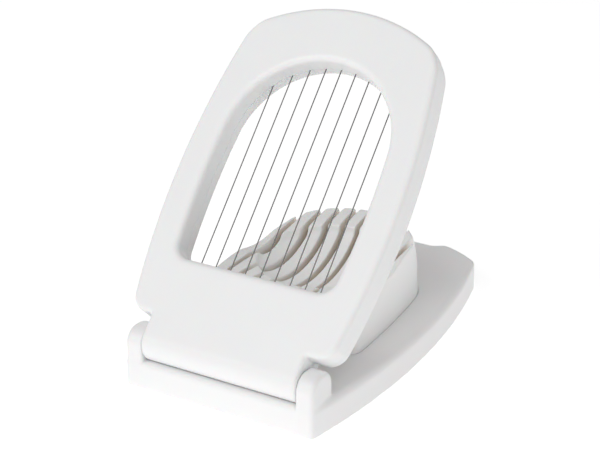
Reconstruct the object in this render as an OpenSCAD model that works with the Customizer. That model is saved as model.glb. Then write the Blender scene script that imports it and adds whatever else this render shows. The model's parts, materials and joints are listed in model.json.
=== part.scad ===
// Egg slicer: a tray with a slotted cradle and a hinged frame strung with wires.
// X runs along the hinge, Y away from it, Z up.  The origin is on the table,
// under the middle of the bounding box, with the frame leaning open.

/* [Base] */
// Widest width of the base
base_w = 77.4; // [76:0.1:79]
// Radius of the bowed sides of the base
base_side_r = 270; // [250:5:300]
// Distance from the front wall to the widest place
base_side_y = 48; // [46:1:50]
// Distance from the front wall to the crown of the far end, before the recess
base_reach = 131.4; // [131:0.1:132]
// Radius of the rounded far end of the base
base_far_r = 46; // [45:1:48]
// Height of the deck
deck_h = 10; // [9.8:0.1:10]
// Wall thickness of the base
base_wall = 2.2; // [1.8:0.1:2.4]
// Half width of the floor of the finger recess
recess_half = 8.5; // [7:0.5:10]
// Distance from the front wall to the floor of the finger recess
recess_y = 127; // [126.5:0.1:127.5]

/* [Hinge] */
// Distance from the front wall to the hinge axis
hinge_y = 6.1; // [6:0.1:6.2]
// Height of the hinge axis
hinge_h = 14.9; // [14.9:0.1:15.3]
// Radius of the hinge barrel on the frame
barrel_r = 6.4; // [6.2:0.1:6.4]
// Length of the hinge barrel
barrel_w = 56.2; // [54:0.1:56.2]
// Gap between the two hinge posts
post_gap = 56.8; // [56.6:0.1:57]
// Depth of a post, front to back
post_d = 12.2; // [11.6:0.2:12.2]
// Height of the posts
post_h = 19.4; // [19.2:0.1:21]
// Rounding of a post's top, seen from the side
post_round = 5.2; // [3:0.1:5.8]
// Thickness of a post
post_w = 6.1; // [5.8:0.1:6.1]
// Rounding of a post's outer top corner, seen from the front
post_corner = 2.5; // [1:0.5:4]
// Radius of the trunnions moulded on the barrel
trunnion_r = 2.5; // [2:0.1:3]
// Radial running clearance of the trunnions
trunnion_gap = 0.05; // [0.02:0.01:0.1]

/* [Frame] */
// Angle of the frame above the table
frame_angle = 47.1; // [0:0.1:170]
// Widest width of the frame
frame_w = 81.4; // [80:0.1:83]
// Distance from the hinge axis to the far end of the frame
frame_reach = 120.5; // [119:0.5:122]
// Height of the frame's upper face above the hinge axis
frame_top = 6.4; // [6.2:0.1:6.6]
// Depth of the joint between frame and ring below the hinge axis
seam_drop = 0.4; // [0.3:0.1:0.5]
// Depth of the ring's lower face below the hinge axis
ring_drop = 4.7; // [4.6:0.1:4.7]
// Wall thickness of the frame's channel
frame_wall = 2; // [1.8:0.1:2.2]
// Width of the opening
open_w = 60; // [59:0.1:61]
// Distance from the hinge axis to the opening
open_near = 26.8; // [26:0.1:27]

/* [Wires] */
// Number of cutting wires
wire_count = 9; // [7:2:9]
// Distance from wire to wire
wire_pitch = 5.5; // [5:0.1:5.5]
// Diameter of a wire
wire_d = 0.4; // [0.4:0.05:0.6]
// Diameter of a ferrule
ferrule_d = 1.8; // [1.6:0.1:2]
// Length of a ferrule
ferrule_l = 3; // [2:0.5:4]

/* [Cradle] */
// Width of the cradle
cradle_w = 55.6; // [54:0.1:56]
// Distance from the front wall to the cradle's near wall
cradle_near = 36; // [35:0.5:37]
// Distance from the front wall to the crown of the cradle's far wall
cradle_far = 102; // [101:0.5:103]
// Thickness of the cradle's walls and of the web that joins its ribs
cradle_wall = 2; // [1.6:0.1:2.2]
// Radius of the bowl at its rim
bowl_r = 22; // [21:0.5:23]
// Distance from the front wall to the middle of the bowl
bowl_y = 64.5; // [63:0.5:66]
// Height of the middle of the bowl's lip
bowl_h = 28; // [26:0.5:30]
// Slope of the bowl's lip, rising towards the far end
bowl_tilt = 4.3; // [0:0.1:5]
// Height of the cradle's rim beside the middle of the bowl
rim_h = 29.1; // [28:0.1:30]
// Slope of the rim, rising towards the far end
rim_tilt = 2.6; // [0:0.1:5]
// Slope of the rim's near end
rim_near_tilt = 7.8; // [5:0.1:12]
// Width of a wire slot
slot_w = 1.8; // [1.4:0.1:2]
// Height of the floor of the wire slots
slot_floor = 13; // [12.5:0.1:13.2]

/* [Hidden] */
$fn = 64;
recess_ramp = 5;
recess_rise = 3.5;
flank_share = 0.76;
base_edge = 1.8;
base_corner = 5;
front_corner = 1.5;
front_lip_h = 9.1;
trough_gap = 0.5;
socket_depth = 3.8;
trunnion_l = 3.3;
post_root = 2.2;
low_roof = 5.8;
frame_side_r = 260;
frame_side_v = 54;
frame_end_r = 62;
frame_corner = 10;
shoulder_v = 6.8;
shoulder_r = 5;
frame_edge = 1.5;
open_side_r = 276;
open_side_v = 55;
open_end_r = 29.4;
open_corner = 5;
open_edge = 1.8;
hinge_block_v = 12.5;
block_gap = 0.3;
ring_step = 0.5;
ring_open_step = 0.3;
channel_h = frame_top + seam_drop - frame_wall;
groove_h = ring_drop - seam_drop - frame_wall;
notch_r = wire_d / 2 + 0.1;
ferrule_bore_r = wire_d / 2 + 0.01;
ferrule_gap = 0.1;
cradle_side_r = 330;
cradle_side_y = 35;
cradle_far_r = 27;
cradle_corner = 5;
cradle_fit = 0.1;
flange = 2.5;
flange_h = 1.8;
bowl_lip = 2.1;
dish_depth = 8.2;
funnel_w = 8;
funnel_h = 2.4;
rim_bend_y = 54;
rim_bend_h = rim_h - (bowl_y - rim_bend_y) * tan(rim_tilt);
scoop_r = 27;
scoop_depth = 1.9;
scoop_y = 63;
big = 200;

// Middle of the bounding box along Y: from the barrel's front to the recess's edge, which is
// where the far arch cuts off the recess's sloping flank
base_far_y = base_reach - base_far_r;
edge_x = recess_half + recess_ramp * flank_share;
far_end = base_far_y + sqrt(base_far_r * base_far_r - edge_x * edge_x);
mid_y = (far_end + hinge_y - barrel_r) / 2;
wire_xs = [for (i = [0:wire_count - 1]) (i - (wire_count - 1) / 2) * wire_pitch];

// Points along an arc about c, from angle a0 to angle a1 in n steps
function arc(c, r, a0, a1, n) =
    [for (i = [0:n]) let (a = a0 + (a1 - a0) * i / n) c + r * [cos(a), sin(a)]];

// A right-hand half outline, closed with its mirror image
function mirrored(right) = concat(right, [for (i = [len(right) - 1:-1:0]) [-right[i][0], right[i][1]]]);

function bearing(from, to) = atan2(to[1] - from[1], to[0] - from[0]);

// The upper of the two points at distance r1 from c1 and r2 from c2
function meet(c1, r1, c2, r2) =
    let (d = norm(c2 - c1), u = (c2 - c1) / d, a = (d * d + r1 * r1 - r2 * r2) / (2 * d))
    c1 + a * u + sqrt(r1 * r1 - a * a) * [-u[1], u[0]];

// Centre of the right-hand side arc, and of the near corner inside it
function side_centre(w, side_r, side_y) = [w / 2 - side_r, side_y];
function near_centre(sc, side_r, near_y, near_r) =
    [sc[0] + sqrt(pow(side_r - near_r, 2) - pow(near_y + near_r - sc[1], 2)), near_y + near_r];

// Bowed sides, straight near end and arched far end with corners, inset by d
function bowed_plan(w, side_r, side_y, near_y, near_r, far_y, far_r, corner_r, d) =
    let (
        sc = side_centre(w, side_r, side_y),
        nc = near_centre(sc, side_r, near_y, near_r),
        fc = [0, far_y - far_r],
        cc = meet(sc, side_r - corner_r, fc, far_r - corner_r)
    )
    mirrored(concat(
        arc(nc, near_r - d, -90, bearing(sc, nc), 5),
        arc(sc, side_r - d, bearing(sc, nc), bearing(sc, cc), 14),
        arc(cc, corner_r - d, bearing(sc, cc), bearing(fc, cc), 5),
        arc(fc, far_r - d, bearing(fc, cc), 89.5, 8)
    ));

function base_plan(d) =
    let (near_r = max(front_corner, d + 0.5))
    bowed_plan(base_w, base_side_r, base_side_y, 0, near_r, base_reach, base_far_r, base_corner, d);

function frame_plan(d) =
    bowed_plan(frame_w, frame_side_r, frame_side_v, shoulder_v, shoulder_r, frame_reach, frame_end_r,
        frame_corner, d);

function cradle_plan(d) =
    bowed_plan(cradle_w, cradle_side_r, cradle_side_y, cradle_near, cradle_corner, cradle_far,
        cradle_far_r, cradle_corner, d);

// Centre of the opening's round end, which runs smoothly into its sides
open_sc = side_centre(open_w, open_side_r, open_side_v);
open_end_v = open_side_v + sqrt(pow(open_side_r - open_end_r, 2) - pow(open_sc[0], 2));

// The opening in the frame, widened by d
function open_plan(d) =
    let (nc = near_centre(open_sc, open_side_r, open_near, open_corner), ec = [0, open_end_v])
    mirrored(concat(
        arc(nc, open_corner + d, -90, bearing(open_sc, nc), 5),
        arc(open_sc, open_side_r + d, bearing(open_sc, nc), bearing(open_sc, ec), 12),
        arc(ec, open_end_r + d, bearing(open_sc, ec), 89.5, 16)
    ));

// Where a far ferrule starts, just behind the channel's arched inner wall
function far_start(x) =
    open_end_v + ferrule_gap + sqrt(pow(open_end_r + frame_wall, 2) - pow(max(abs(x) - ferrule_d / 2, 0), 2));
near_start = open_near - frame_wall - ferrule_gap - ferrule_l;

// Puts a piece measured from the front wall into the part's own frame
module on_base() {
    translate([0, -mid_y, 0]) children();
}

// Puts a piece measured from the hinge axis, lying flat, onto the leaning frame
module on_frame() {
    on_base() translate([0, hinge_y, hinge_h]) rotate([frame_angle, 0, 0]) children();
}

module slab(points, low, high) {
    translate([0, 0, low]) linear_extrude(high - low) polygon(points);
}

module along_x(r, x0, x1) {
    translate([x0, 0, 0]) rotate([0, 90, 0]) cylinder(r = r, h = x1 - x0);
}

module along_y(r, y0, y1) {
    translate([0, y0, 0]) rotate([-90, 0, 0]) cylinder(r = r, h = y1 - y0);
}

// ---- Base ----

// Finger recess with sloping flanks, grown by d
module recess(d) {
    wide = recess_half + recess_ramp;
    high = recess_y + recess_rise;
    slab([[-recess_half - d, recess_y - d], [recess_half + d, recess_y - d], [wide + d, high - d],
        [wide + d, base_reach + 5], [-wide - d, base_reach + 5], [-wide - d, high - d]], -1, big);
}

// Upright from p0 to p1 whose top corners are rounded: r0 on the left, r1 on the right
module round_topped(p0, p1, r0, r1) {
    high = p1[1];
    polygon(concat(
        [p0, [p1[0], p0[1]]],
        arc([p1[0] - r1, high - r1], r1, 0, 90, 8),
        arc([p0[0] + r0, high - r0], r0, 90, 180, 8)
    ));
}

// Post for the right-hand end of the hinge, round on top
module post() {
    x0 = post_gap / 2;
    x1 = x0 + post_w;
    y0 = hinge_y - post_d / 2;
    intersection() {
        translate([x0 - 1, 0, 0]) rotate([90, 0, 90]) linear_extrude(post_w + 2)
            round_topped([y0, post_root], [y0 + post_d, post_h], post_round, post_round);
        translate([0, y0 + post_d + 1, 0]) rotate([90, 0, 0]) linear_extrude(post_d + 2)
            round_topped([x0, 0], [x1, post_h], 0.5, post_corner);
    }
}

module base_body() {
    roof = deck_h - base_wall;
    color("whitesmoke") on_base() difference() {
        union() {
            hull() {
                slab(base_plan(0), 0, deck_h - base_edge);
                slab(base_plan(base_edge), 0, deck_h);
            }
            post();
            mirror([1, 0, 0]) post();
        }
        recess(0);
        // trough under the hinge barrel, and the low lip in front of it
        translate([0, hinge_y, hinge_h]) along_x(barrel_r + trough_gap, -post_gap / 2, post_gap / 2);
        translate([-post_gap / 2, -1, front_lip_h]) cube([post_gap, hinge_y + 1, big]);
        // blind sockets for the trunnions
        translate([0, hinge_y, hinge_h])
            along_x(trunnion_r + trunnion_gap, -post_gap / 2 - socket_depth, post_gap / 2 + socket_depth);
        // hollow underside, lower under the trough
        difference() {
            slab(base_plan(base_wall), -1, roof);
            recess(base_wall);
            translate([-big / 2, -1, low_roof]) cube([big, post_d + base_wall + 1, big]);
        }
        // hole that the cradle stands in
        slab(cradle_plan(-cradle_fit), -1, big);
    }
}

// ---- Cradle ----

// Puts a piece onto a slope that passes through height high at distance y
module on_slope(y, high, tilt) {
    translate([0, y, high]) rotate([tilt, 0, 0]) children();
}

// All that lies above a level plane
module above() {
    translate([-big / 2, -big / 2, 0]) cube([big, big, big]);
}

// The cradle's outer block under its rim, which slopes more steeply at the near end
module cradle_block(low) {
    difference() {
        slab(cradle_plan(0), low, rim_h + 10);
        on_slope(bowl_y, rim_h, rim_tilt) above();
        on_slope(rim_bend_y, rim_bend_h, rim_near_tilt) above();
    }
}

// Round dish with an upright lip, and a shallow funnel leading into it
module bowl() {
    dish_r = (bowl_r * bowl_r + dish_depth * dish_depth) / (2 * dish_depth);
    edge = asin(bowl_r / dish_r);
    floor_up = -bowl_lip - dish_depth;
    on_slope(bowl_y, bowl_h, bowl_tilt) rotate_extrude() polygon(concat(
        arc([0, floor_up + dish_r], dish_r, -90, edge - 90, 8),
        [[bowl_r, 0], [bowl_r + funnel_w, funnel_h], [bowl_r + funnel_w, 12], [0, 12]]
    ));
}

// Shallow dip across both side rims
module scoop() {
    on_slope(bowl_y, rim_h, rim_tilt) translate([0, scoop_y - bowl_y, scoop_r - scoop_depth])
        rotate([0, 90, 0]) cylinder(r = scoop_r, h = big, center = true);
}

module egg_cradle() {
    foot = deck_h - base_wall - flange_h;
    color("white") on_base() difference() {
        union() {
            cradle_block(foot);
            slab(cradle_plan(-flange), foot, foot + flange_h);
        }
        bowl();
        scoop();
        // hollow underside, below the web that joins the ribs
        slab(cradle_plan(cradle_wall), foot - 1, slot_floor - cradle_wall);
        for (x = wire_xs)
            translate([x - slot_w / 2, cradle_near - 5, slot_floor])
                cube([slot_w, cradle_far - cradle_near + 10, big]);
    }
}

// ---- Swinging frame ----

// Room for each wire where it crosses the walls at the joint
module wire_notches() {
    for (x = wire_xs)
        translate([x, 0, -seam_drop]) along_y(notch_r, near_start, far_start(x) + ferrule_l);
}

// The band between the walls of the frame, clear of the hinge block
module channel(low, high) {
    difference() {
        slab(frame_plan(frame_wall), low, high);
        slab(open_plan(frame_wall), low - 1, high + 1);
        translate([-barrel_w / 2 - frame_wall, -big, low - 1])
            cube([barrel_w + 2 * frame_wall, big + hinge_block_v + frame_wall, high - low + 2]);
    }
}

module lid_frame() {
    color("whitesmoke") on_frame() difference() {
        union() {
            difference() {
                hull() {
                    slab(frame_plan(0), -seam_drop, frame_top - frame_edge);
                    slab(frame_plan(frame_edge), -seam_drop, frame_top);
                }
                slab(open_plan(0), -big, big);
                hull() {
                    slab(open_plan(0), frame_top - open_edge, frame_top);
                    slab(open_plan(open_edge + 1), frame_top + 1, frame_top + 2);
                }
                channel(-seam_drop - 1, -seam_drop + channel_h);
            }
            translate([-barrel_w / 2, 0, -ring_drop]) cube([barrel_w, hinge_block_v, ring_drop + frame_top]);
            along_x(barrel_r, -barrel_w / 2, barrel_w / 2);
            along_x(trunnion_r, -barrel_w / 2 - trunnion_l, barrel_w / 2 + trunnion_l);
        }
        wire_notches();
    }
}

module wire_ring() {
    color("whitesmoke") on_frame() difference() {
        slab(frame_plan(ring_step), -ring_drop, -seam_drop);
        slab(open_plan(ring_open_step), -big, big);
        translate([-barrel_w / 2 - block_gap, -1, -big / 2])
            cube([barrel_w + 2 * block_gap, hinge_block_v + block_gap + 1, big]);
        channel(-seam_drop - groove_h, 1);
        wire_notches();
    }
}

module wire(i) {
    x = wire_xs[i];
    color("silver") on_frame() translate([x, 0, -seam_drop])
        along_y(wire_d / 2, near_start, far_start(x) + ferrule_l);
}

module ferrule(x, v) {
    translate([x, v, -seam_drop]) difference() {
        along_y(ferrule_d / 2, 0, ferrule_l);
        along_y(ferrule_bore_r, -1, ferrule_l + 1);
    }
}

module near_ferrules() {
    color("darkgray") on_frame() for (x = wire_xs) ferrule(x, near_start);
}

module far_ferrules() {
    color("darkgray") on_frame() for (x = wire_xs) ferrule(x, far_start(x));
}

base_body();
egg_cradle();
lid_frame();
wire_ring();
for (i = [0:wire_count - 1]) wire(i);
near_ferrules();
far_ferrules();
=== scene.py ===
"""Egg slicer: a moulded tray with a slotted cradle, and a hinged frame strung with wires.

Each plastic moulding is described as a signed distance: negative inside, positive outside, in
millimetres.  A grid of samples turns that description into a closed quad mesh, so every edge gets
its moulded rounding.  The wires and ferrules are the frame's own pieces, given steel.
"""
import json
import math

import bpy
import numpy as np
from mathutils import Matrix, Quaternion, Vector


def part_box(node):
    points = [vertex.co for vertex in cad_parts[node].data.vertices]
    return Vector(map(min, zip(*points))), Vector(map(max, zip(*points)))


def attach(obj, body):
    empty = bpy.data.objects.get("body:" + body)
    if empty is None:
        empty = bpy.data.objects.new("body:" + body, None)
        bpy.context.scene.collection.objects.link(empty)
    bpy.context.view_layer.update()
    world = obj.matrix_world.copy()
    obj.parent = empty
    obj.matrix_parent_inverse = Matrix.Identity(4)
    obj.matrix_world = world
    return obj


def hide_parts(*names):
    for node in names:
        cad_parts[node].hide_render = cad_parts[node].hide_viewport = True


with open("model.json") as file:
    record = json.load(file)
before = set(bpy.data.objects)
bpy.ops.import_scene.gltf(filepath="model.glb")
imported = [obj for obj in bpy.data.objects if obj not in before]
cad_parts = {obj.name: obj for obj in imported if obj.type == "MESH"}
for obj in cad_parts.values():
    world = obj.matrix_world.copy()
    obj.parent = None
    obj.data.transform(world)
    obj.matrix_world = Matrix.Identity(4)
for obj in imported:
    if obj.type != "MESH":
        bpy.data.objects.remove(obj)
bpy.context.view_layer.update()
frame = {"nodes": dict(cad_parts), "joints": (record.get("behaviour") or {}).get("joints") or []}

MM = 0.001

# ---- Places taken from the frame, in millimetres ----
HINGE = frame["joints"][0]
HINGE_Y = HINGE["pos_m"][1] / MM
HINGE_Z = HINGE["pos_m"][2] / MM
LEAN = math.radians(-HINGE["range_deg"][0])
BASE_LOW, BASE_HIGH = (Vector(c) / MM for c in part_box("base_body"))
FRONT = BASE_LOW.y
WIRE_NODES = sorted(n for n in frame["nodes"] if n.startswith("wire_") and n != "wire_ring")


# ---- Distance functions ----

def disc(a, b, ca, cb, r):
    """Distance to a round bar seen end on."""
    return np.hypot(a - ca, b - cb) - r


def both(a, b, r=0.0):
    """The space inside a and inside b, with the edge between them rounded to radius r."""
    if np.ndim(r) == 0 and r <= 0:
        return np.maximum(a, b)
    return np.minimum(-r, np.maximum(a, b)) + np.hypot(np.maximum(r + a, 0), np.maximum(r + b, 0))


def either(a, b, r=0.0):
    """The space inside a or inside b, with the inner corner between them filled to radius r."""
    return -both(-a, -b, r)


def without(a, b, r=0.0):
    """The space inside a and outside b, with the edge between them rounded to radius r."""
    return both(a, -b, r)


def bowed_sides(x, y, width, radius, middle):
    """Distance to the space between two bowed sides."""
    return np.hypot(np.abs(x) + (radius - width / 2), y - middle) - radius


def arched_end(x, y, middle, radius):
    """Distance to the space that ends in an arch beyond middle, and hardly narrows before it."""
    return np.hypot(x, np.maximum(y - middle, 0)) - radius - 0.1 * np.maximum(middle - y, 0)


def smooth_step(t):
    t = np.clip(t, 0, 1)
    return t * t * (3 - 2 * t)


# ---- From a distance function to a mesh ----

def gradient(field, points, h=0.02):
    """Direction in which the distance grows, at each point."""
    slopes = []
    for axis in range(3):
        step = np.zeros(3)
        step[axis] = h
        slopes.append((field(*(points + step).T) - field(*(points - step).T)) / (2 * h))
    return np.stack(slopes, axis=1)


def settle(field, points, cell, rounds=5):
    """Moves each point onto the surface, along the slope."""
    start = points.copy()
    for _ in range(rounds):
        slope = gradient(field, points)
        size = np.maximum((slope ** 2).sum(axis=1), 0.2)
        points = points - slope * (field(*points.T) / size)[:, None]
        points = start + np.clip(points - start, -cell, cell)
    return points


def surface(field, low, high, cell):
    """Closed quad mesh of the zero level of field between two corners, in millimetres."""
    cell = np.array(cell, dtype=float)
    low = np.array(low, dtype=float) - 1.5 * cell
    counts = np.ceil((np.array(high) + 1.5 * cell - low) / cell).astype(int) + 1
    axes = [low[i] + cell[i] * np.arange(counts[i]) for i in range(3)]
    value = np.empty(counts)
    across = np.meshgrid(axes[1], axes[2], indexing="ij")
    for i, x in enumerate(axes[0]):
        value[i] = field(np.full((counts[1], counts[2]), x), *across)
    inside = value < 0

    # one point in each cell that the surface crosses, at the mean of its edge crossings
    shape = counts - 1
    total = np.zeros(tuple(shape) + (3,))
    number = np.zeros(shape)
    grid = np.stack(np.meshgrid(*axes, indexing="ij"), axis=-1)
    for axis in range(3):
        here = [slice(None)] * 3
        there = [slice(None)] * 3
        here[axis] = slice(0, -1)
        there[axis] = slice(1, None)
        a, b = value[tuple(here)], value[tuple(there)]
        crossed = (a < 0) != (b < 0)
        part = np.where(crossed, a / np.where(crossed, a - b, 1), 0)
        spot = grid[tuple(here)].copy()
        spot[..., axis] += part * cell[axis]
        others = [k for k in range(3) if k != axis]
        for du in (0, 1):
            for dv in (0, 1):
                cut = [slice(None)] * 3
                cut[others[0]] = slice(du, du + shape[others[0]])
                cut[others[1]] = slice(dv, dv + shape[others[1]])
                hit = crossed[tuple(cut)]
                total += np.where(hit[..., None], spot[tuple(cut)], 0)
                number += hit
    used = number > 0
    index = np.full(shape, -1)
    index[used] = np.arange(used.sum())
    points = settle(field, total[used] / number[used][:, None], cell * 0.7)

    # one quad round each grid edge that the surface crosses
    quads = []
    for axis in range(3):
        here = [slice(1, -1)] * 3
        there = [slice(1, -1)] * 3
        here[axis] = slice(0, -1)
        there[axis] = slice(1, None)
        a, b = inside[tuple(here)], inside[tuple(there)]
        at = np.argwhere(a != b)
        leaving = a[tuple(at.T)]
        u, v = (axis + 1) % 3, (axis + 2) % 3
        corners = []
        for du, dv in ((-1, -1), (0, -1), (0, 0), (-1, 0)):
            cell_at = at.copy()
            for k in (u, v):
                cell_at[:, k] += 1
            cell_at[:, u] += du
            cell_at[:, v] += dv
            corners.append(index[tuple(cell_at.T)])
        faces = np.stack(corners, axis=1)
        faces[~leaving] = faces[~leaving][:, ::-1]
        quads.append(faces)
    return points, np.concatenate(quads)


def mesh_object(name, points, faces, material, body, place=None):
    """A smooth-shaded piece from points in millimetres, riding on a body."""
    if place is not None:
        points = place(points)
    mesh = bpy.data.meshes.new(name)
    mesh.from_pydata((points * MM).tolist(), [], faces.tolist())
    mesh.shade_smooth()
    mesh.materials.append(material)
    piece = bpy.data.objects.new(name, mesh)
    bpy.context.scene.collection.objects.link(piece)
    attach(piece, body)
    return piece


def on_base(points):
    """From distances behind the front wall to the part's own frame."""
    return points + np.array([0, FRONT, 0])


def on_frame(points):
    """From distances along the flat frame, from the hinge axis, to the leaning frame."""
    x, v, n = points.T
    y = HINGE_Y + v * math.cos(LEAN) - n * math.sin(LEAN)
    z = HINGE_Z + v * math.sin(LEAN) + n * math.cos(LEAN)
    return np.stack([x, y, z], axis=1)


# ---- Base ----
BASE_WIDTH = BASE_HIGH.x - BASE_LOW.x
DECK = 10.12
WALL = 2.2
POST_GAP = 56.8
POST_OUT = 34.5
POST_DEPTH = 12.2
POST_TOP = 19.4
POST_ROUND = 5.2
AXIS_Y = HINGE_Y - FRONT
BARREL_R = 6.4
TROUGH_GAP = 0.05
SOCKET_R = 2.55
SOCKET_DEPTH = 3.8
LIP_H = 9.1
LOW_ROOF = 5.8
LOW_ROOF_Y = 14.4
BASE_SIDE_R = 270
BASE_SIDE_Y = 48
BASE_FAR_R = 46
BASE_FAR_Y = 85.4
RECESS_Y = 127
RECESS_HALF = 8.0
RECESS_RAMP = 6.5
RECESS_RISE = 3.2
DECK_EDGE = 2.4
DECK_EDGE_FAR = 1.0


def base_outline(x, y, inset=0.0):
    """Plan of the tray: bowed sides, straight front, arched far end with a finger recess."""
    sides = bowed_sides(x, y, BASE_WIDTH - 2 * inset, BASE_SIDE_R - inset, BASE_SIDE_Y)
    far = arched_end(x, y, BASE_FAR_Y, BASE_FAR_R - inset)
    plan = both(both(sides, far, 1.2), inset - y, 1.1)
    flank = smooth_step((np.abs(x) - RECESS_HALF) / RECESS_RAMP)
    recess = RECESS_Y - inset + RECESS_RISE * flank - y
    return both(plan, -recess, 1.2)


def post_shape(x, y, z):
    """The two hinge posts, with rounded tops."""
    side = both(np.abs(y - AXIS_Y) - POST_DEPTH / 2, z - POST_TOP, POST_ROUND)
    outer = both(np.abs(x) - POST_OUT, side, 1.6)
    return both(both(outer, POST_GAP / 2 - np.abs(x), 0.8), -z, 0)


def base_shape(x, y, z):
    """The whole tray: deck, posts, trough, sockets, hollow underside and the cradle's hole."""
    edge = DECK_EDGE - (DECK_EDGE - DECK_EDGE_FAR) * smooth_step((y - 100) / 15)
    body = both(base_outline(x, y), z - DECK, edge)
    lip = both(both(np.abs(x) - POST_GAP / 2, y - AXIS_Y, 0), LIP_H - z, 0)
    body = without(body, lip, 0.8)
    body = both(body, -z, 0.4)
    body = either(body, both(post_shape(x, y, z), 0.5 - z, 0), 0.6)
    trough = both(disc(y, z, AXIS_Y, HINGE_Z, BARREL_R + TROUGH_GAP), np.abs(x) - POST_GAP / 2, 0)
    body = without(body, trough, 0.12)
    socket_end = POST_GAP / 2 + SOCKET_DEPTH
    socket = both(disc(y, z, AXIS_Y, HINGE_Z, SOCKET_R), np.abs(x) - socket_end, 0)
    body = without(body, socket, 0.2)
    roof = np.where(y < LOW_ROOF_Y, LOW_ROOF, DECK - WALL)
    under = both(base_outline(x, y, WALL), z - roof, 0.8)
    body = without(body, under, 0.3)
    return without(body, cradle_outline(x, y, -0.02), 0.04)


# ---- Cradle ----
CRADLE_W = 55.6
CRADLE_SIDE_R = 330
CRADLE_SIDE_Y = 35
CRADLE_NEAR = 36
CRADLE_FAR_Y = 75
CRADLE_FAR_R = 27
RIM_BEND_Y = 54.0
RIM_BEND_Z = 28.6
RIM_SLOPE = 0.045
RIM_NEAR_SLOPE = 0.136
DIP_Y = 62.7
DIP_R = 22.0
DIP_Z = 27.15
BOWL_Y = 64.5
BOWL_Z = 28.0
BOWL_TILT = math.radians(4.3)
BOWL_R = 22.0
BOWL_LIP = 2.1
DISH_DEPTH = 8.2
DISH_R = (BOWL_R ** 2 + DISH_DEPTH ** 2) / (2 * DISH_DEPTH)
FUNNEL = math.radians(17)
CROWN = 1.6
CROWN_HALF = 24.0
CURL_LOW = 18.0
CURL = 0.019
SLOT_W = 1.8
SLOT_FLOOR = 13.0
WIRE_PITCH = 5.5
LAST_WIRE = 4
WEB = 2.0
FLANGE_LOW = 6.0
FLANGE_H = 1.8
FLANGE = 2.5
DRAFT = math.tan(math.radians(2.2))


def cradle_outline(x, y, inset=0.0, pull=0.0):
    """Plan of the cradle: bowed, tapering sides and an arched far end."""
    sides = bowed_sides(x, y, CRADLE_W - 2 * inset, CRADLE_SIDE_R - inset, CRADLE_SIDE_Y)
    far = arched_end(x, y, CRADLE_FAR_Y - pull, CRADLE_FAR_R - inset)
    return both(both(sides, far, 1.8), CRADLE_NEAR + inset - y, 5)


def bowl_shape(x, y, z):
    """The dish for the egg: a round hollow with an upright lip, at the foot of a shallow funnel."""
    up = -(y - BOWL_Y) * math.sin(BOWL_TILT) + (z - BOWL_Z) * math.cos(BOWL_TILT)
    along = (y - BOWL_Y) * math.cos(BOWL_TILT) + (z - BOWL_Z) * math.sin(BOWL_TILT)
    out = np.hypot(x, along)
    centre = DISH_R - BOWL_LIP - DISH_DEPTH
    dish = np.where(up < centre, np.hypot(out, up - centre) - DISH_R, out - DISH_R)
    well = both(dish, out - BOWL_R, 1.2)
    funnel = (out - BOWL_R) * math.sin(FUNNEL) - up * math.cos(FUNNEL)
    return well, funnel


def rim_shape(x, y, z):
    """All below the rim, which is crowned, falls to the near end and dips beside the egg."""
    z = z - CROWN * (1 - np.minimum(np.abs(x) / CROWN_HALF, 1) ** 4)
    far = z - RIM_BEND_Z - RIM_SLOPE * (y - RIM_BEND_Y)
    near = z - RIM_BEND_Z - RIM_NEAR_SLOPE * (y - RIM_BEND_Y)
    dip = DIP_R - np.hypot(y - DIP_Y, z - DIP_Z - DIP_R)
    return both(both(far, near, 0.2), dip, 0.8)


def cradle_shape(x, y, z):
    """The whole cradle: ribs with slots between them, a web that joins them, and a flange."""
    lean = DRAFT * np.maximum(z - DECK, 0)
    curl = CURL * np.maximum(z - CURL_LOW, 0) ** 2
    block = cradle_outline(x, y, 0, curl) + lean
    shell = both(block, rim_shape(x, y, z), 0.45)
    hollow = both(cradle_outline(x, y, WEB), z - (SLOT_FLOOR - WEB), 0.5)
    well, funnel = bowl_shape(x, y, z)
    shell = without(without(shell, funnel, 2.0), well, 0.7)
    shell = without(shell, hollow, 0.3)
    nearest = np.clip(np.round(x / WIRE_PITCH), -LAST_WIRE, LAST_WIRE) * WIRE_PITCH
    slot = both(np.abs(x - nearest) - SLOT_W / 2, SLOT_FLOOR - z, 0.3)
    shell = without(shell, slot, 0.3)
    foot = both(cradle_outline(x, y, -FLANGE), z - FLANGE_LOW - FLANGE_H, 0.2)
    foot = both(foot, -cradle_outline(x, y, WEB), 0.2)
    shell = either(shell, foot, 0.3)
    return both(shell, FLANGE_LOW - z, 0.3)


# ---- Swinging frame: x across, v along it from the hinge axis, n square to it ----
FRAME_TOP = 6.4
SEAM = -0.4
RING_LOW = -4.7
APRON_HALF = 28.25
BLOCK_END = 12.5
BLOCK_GAP = 0.3
CHANNEL_WALL = 2.0
TRUNNION_R = 2.5
TRUNNION_L = 3.3
FRAME_W = 81.4
FRAME_SIDE_R = 260
FRAME_SIDE_V = 54
FRAME_FAR_V = 58.5
FRAME_FAR_R = 62
SHOULDER_V = 6.8
OPEN_W = 60
OPEN_SIDE_R = 276
OPEN_SIDE_V = 55
OPEN_END_V = 72.2
OPEN_END_R = 29.4
OPEN_NEAR = 26.8
RING_STEP = 0.5
RING_OPEN_STEP = 0.3


def frame_outline(x, v, inset=0.0):
    """Outer plan of the frame, above the shoulders."""
    sides = bowed_sides(x, v, FRAME_W - 2 * inset, FRAME_SIDE_R - inset, FRAME_SIDE_V)
    far = arched_end(x, v, FRAME_FAR_V, FRAME_FAR_R - inset)
    return both(both(sides, far, 4.2), SHOULDER_V + inset - v, 5)


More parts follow.
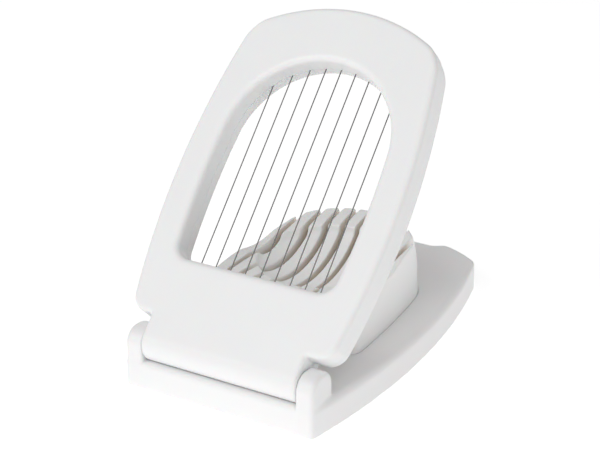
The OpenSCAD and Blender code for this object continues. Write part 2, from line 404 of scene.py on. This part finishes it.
def opening_outline(x, v, grow=0.0):
    """Plan of the opening: bowed sides, straight near end and a round far end."""
    sides = bowed_sides(x, v, OPEN_W + 2 * grow, OPEN_SIDE_R + grow, OPEN_SIDE_V)
    arch = np.where(v > OPEN_END_V, disc(x, v, 0, OPEN_END_V, OPEN_END_R + grow), sides)
    return both(arch, OPEN_NEAR - grow - v, 5)


def channel_plan(x, v):
    """Band between the walls, clear of the hinge block, where the wire ends are held."""
    band = both(frame_outline(x, v, CHANNEL_WALL), CHANNEL_WALL - opening_outline(x, v), 0.5)
    block = both(np.abs(x) - APRON_HALF - CHANNEL_WALL, v - BLOCK_END - CHANNEL_WALL, 0)
    return both(band, -block, 0.5)


def lid_shape(x, v, n):
    """The upper moulding: apron, hinge barrel and block, opening, channel and trunnions."""
    edge = 1.0 + 0.6 * smooth_step((v - 4) / 6)
    apron = both(np.abs(x) - APRON_HALF, v - 20, 0)
    plan = either(frame_outline(x, v), apron, 0.8)
    barrel = np.hypot(v, n) - BARREL_R
    front = np.where(v > 0, n - FRAME_TOP, barrel)
    body = without(both(plan, front, edge), opening_outline(x, v), 1.9)
    block = both(both(np.abs(x) - APRON_HALF, v - BLOCK_END, 0), RING_LOW - n, 0.6)
    back = np.minimum(np.minimum(SEAM - n, block), np.maximum(barrel, np.abs(x) - APRON_HALF))
    body = both(body, back, 0.25)
    channel = both(channel_plan(x, v), n - (FRAME_TOP - CHANNEL_WALL), 0.5)
    body = both(body, -channel, 0.2)
    trunnion = both(np.hypot(v, n) - TRUNNION_R, np.abs(x) - APRON_HALF - TRUNNION_L, 0.4)
    return np.minimum(body, trunnion)


def ring_shape(x, v, n):
    """The lower moulding, which closes the channel from below."""
    block = both(np.abs(x) - APRON_HALF - BLOCK_GAP, v - BLOCK_END - BLOCK_GAP, 0)
    plan = both(frame_outline(x, v, RING_STEP), -opening_outline(x, v, RING_OPEN_STEP), 0)
    plan = both(plan, -block, 0.3)
    body = both(both(plan, RING_LOW - n, 0.9), n - SEAM, 0.25)
    groove = both(channel_plan(x, v), RING_LOW + CHANNEL_WALL - n, 0.5)
    return both(body, -groove, 0.2)


# ---- Materials ----

def shader(name):
    material = bpy.data.materials.new(name)
    material.use_nodes = True
    return material, material.node_tree, material.node_tree.nodes["Principled BSDF"]


def noise(tree, scale, detail=2.0):
    place = tree.nodes.new("ShaderNodeTexCoord")
    texture = tree.nodes.new("ShaderNodeTexNoise")
    texture.inputs["Scale"].default_value = scale
    texture.inputs["Detail"].default_value = detail
    tree.links.new(place.outputs["Object"], texture.inputs["Vector"])
    return texture


def spread(tree, source, low, high):
    """Maps a noise to the range low to high."""
    part = tree.nodes.new("ShaderNodeMapRange")
    part.inputs["To Min"].default_value = low
    part.inputs["To Max"].default_value = high
    part.inputs["From Min"].default_value = 0.3
    part.inputs["From Max"].default_value = 0.7
    tree.links.new(source.outputs["Fac"], part.inputs["Value"])
    return part


def moulded_plastic(name, tone, painted_shade_tone):
    """Near-white moulded plastic with painted shade, darker and warmer, in its recesses; faint
    clouding, satin gloss, fine grain.
    """
    material, tree, bsdf = shader(name)
    clouds = noise(tree, 35)
    mix = tree.nodes.new("ShaderNodeMix")
    mix.data_type = "RGBA"
    mix.inputs["A"].default_value = (*[c * 0.985 for c in tone], 1)
    mix.inputs["B"].default_value = (*tone, 1)
    tree.links.new(spread(tree, clouds, 0, 1).outputs["Result"], mix.inputs["Factor"])
    # Painted shade: where the occlusion finds surfaces close by, the colour mixes towards the painted
    # shade tone.
    recess = tree.nodes.new("ShaderNodeAmbientOcclusion")
    recess.samples = 8
    recess.only_local = True
    recess.inputs["Distance"].default_value = 0.006
    openness = tree.nodes.new("ShaderNodeMapRange")
    openness.inputs["From Min"].default_value = 0.1
    openness.inputs["From Max"].default_value = 0.6
    tree.links.new(recess.outputs["AO"], openness.inputs["Value"])
    shade = tree.nodes.new("ShaderNodeMix")
    shade.data_type = "RGBA"
    shade.inputs["A"].default_value = (*painted_shade_tone, 1)
    tree.links.new(openness.outputs["Result"], shade.inputs["Factor"])
    tree.links.new(mix.outputs["Result"], shade.inputs["B"])
    tree.links.new(shade.outputs["Result"], bsdf.inputs["Base Color"])
    grain = noise(tree, 2600, 3)
    tree.links.new(spread(tree, grain, 0.36, 0.46).outputs["Result"], bsdf.inputs["Roughness"])
    bump = tree.nodes.new("ShaderNodeBump")
    bump.inputs["Strength"].default_value = 0.12
    bump.inputs["Distance"].default_value = 0.00002
    tree.links.new(grain.outputs["Fac"], bump.inputs["Height"])
    tree.links.new(bump.outputs["Normal"], bsdf.inputs["Normal"])
    bsdf.inputs["Subsurface Weight"].default_value = 0.2
    bsdf.inputs["Subsurface Scale"].default_value = 0.002
    bsdf.inputs["IOR"].default_value = 1.5
    return material


def drawn_steel(name, tone, rough):
    """Dull steel with a slight change of tone and roughness along it."""
    material, tree, bsdf = shader(name)
    bsdf.inputs["Metallic"].default_value = 1.0
    streaks = noise(tree, 60, 4)
    mix = tree.nodes.new("ShaderNodeMix")
    mix.data_type = "RGBA"
    mix.inputs["A"].default_value = (*[c * 0.8 for c in tone], 1)
    mix.inputs["B"].default_value = (*tone, 1)
    tree.links.new(spread(tree, streaks, 0, 1).outputs["Result"], mix.inputs["Factor"])
    tree.links.new(mix.outputs["Result"], bsdf.inputs["Base Color"])
    uneven = spread(tree, streaks, rough * 0.8, rough * 1.2)
    tree.links.new(uneven.outputs["Result"], bsdf.inputs["Roughness"])
    return material


# Painted light: the cradle's copy of the white plastic is lighter, to make up for the frame's shade
# over it, and its painted shade in slots and hollows is warm; the tray and frame copy has a faint
# grey painted shade in its creases.
PLASTIC = moulded_plastic("white_plastic", (0.86, 0.86, 0.86), (0.84, 0.835, 0.83))
CRADLE_PLASTIC_PAINTED_LIGHT = moulded_plastic("cradle_plastic_painted_light", (0.93, 0.925, 0.915), (0.84, 0.76, 0.66))
WIRE = drawn_steel("wire_steel", (0.24, 0.235, 0.23), 0.35)
FERRULE = drawn_steel("ferrule_steel", (0.5, 0.5, 0.5), 0.4)


# ---- Pieces ----

def build(name, shape, low, high, cell, body, place, node, material=PLASTIC):
    """Meshes a moulding between two corners, and puts it in the place of the frame's node."""
    cell = np.array(cell) * 1.0
    points, faces = surface(shape, low, high, cell)
    piece = mesh_object(name, points, faces, material, body, place)
    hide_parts(node)
    return piece


DEPTH = BASE_HIGH.y - BASE_LOW.y
HALF = BASE_WIDTH / 2
CELL = (0.6, 0.6, 0.5)
FINE_CELL = (0.26, 0.5, 0.4)
build("tray", base_shape, (-HALF, 0, 0), (HALF, DEPTH, POST_TOP), CELL,
      "base", on_base, "base_body")
build("cradle", cradle_shape, (-31, 33, FLANGE_LOW), (31, 105, 33.5), FINE_CELL,
      "base", on_base, "egg_cradle", CRADLE_PLASTIC_PAINTED_LIGHT)
build("frame_shell", lid_shape, (-41, -6.5, -6.5), (41, 121, 6.5), CELL,
      "frame", on_frame, "lid_frame")
build("frame_ring", ring_shape, (-41, 6, -5), (41, 121, 0), CELL,
      "frame", on_frame, "wire_ring")

for node in WIRE_NODES:
    frame["nodes"][node].data.materials.clear()
    frame["nodes"][node].data.materials.append(WIRE)
for node in ("near_ferrules", "far_ferrules"):
    frame["nodes"][node].data.materials.clear()
    frame["nodes"][node].data.materials.append(FERRULE)


# ---- Stage ----

def glowing_floor(name, tone, glow):
    """Plain white surface, lifted a little so that it stays paper white."""
    material, tree, bsdf = shader(name)
    bsdf.inputs["Base Color"].default_value = (*tone, 1)
    bsdf.inputs["Roughness"].default_value = 0.9
    bsdf.inputs["Emission Color"].default_value = (*tone, 1)
    bsdf.inputs["Emission Strength"].default_value = glow
    return material


def floor():
    size = 3.0
    mesh = bpy.data.meshes.new("floor")
    corners = [(-size, -size, 0), (size, -size, 0), (size, size, 0), (-size, size, 0)]
    mesh.from_pydata(corners, [], [(0, 1, 2, 3)])
    mesh.materials.append(glowing_floor("floor_white", (0.9, 0.9, 0.9), 0.5))
    piece = bpy.data.objects.new("floor", mesh)
    bpy.context.scene.collection.objects.link(piece)


def area_light(name, place, target, size, watts, tone):
    data = bpy.data.lights.new(name, "AREA")
    data.shape = "SQUARE"
    data.size = size
    data.energy = watts
    data.color = tone
    light = bpy.data.objects.new(name, data)
    light.location = place
    light.rotation_euler = (Vector(target) - Vector(place)).to_track_quat("-Z", "Y").to_euler()
    bpy.context.scene.collection.objects.link(light)


def camera():
    """Low three-quarter view from the hinge end, on a long lens."""
    azimuth, elevation, roll = math.radians(31.59), math.radians(23.07), math.radians(-0.27)
    target = Vector((0, FRONT + 49.5, 44.4)) * MM
    back = Vector((math.sin(azimuth) * math.cos(elevation),
                   -math.cos(azimuth) * math.cos(elevation),
                   math.sin(elevation)))
    data = bpy.data.cameras.new("camera")
    data.sensor_width = 36
    data.lens = 102.24
    eye = bpy.data.objects.new("camera", data)
    eye.location = target + back * 0.5469
    eye.rotation_mode = "QUATERNION"
    eye.rotation_quaternion = (-back).to_track_quat("-Z", "Y")
    eye.rotation_quaternion = eye.rotation_quaternion @ Quaternion((0, 0, 1), roll)
    bpy.context.scene.collection.objects.link(eye)
    bpy.context.scene.camera = eye


floor()
camera()
LIT_POINT = (0, 0, 0.03)
DAYLIGHT = (0.99, 0.995, 1.0)
area_light("left", (-0.5, -1.1, 0.95), LIT_POINT, 0.8, 6.3, DAYLIGHT)
area_light("right", (0.7, -1.0, 1.0), LIT_POINT, 0.9, 3.9, DAYLIGHT)
world = bpy.data.worlds.new("studio")
world.use_nodes = True
sky = world.node_tree.nodes["Background"]
sky.inputs["Color"].default_value = (1.0, 1.0, 1.0, 1)
sky.inputs["Strength"].default_value = 0.47
bpy.context.scene.world = world
bpy.context.scene.view_settings.view_transform = "Standard"
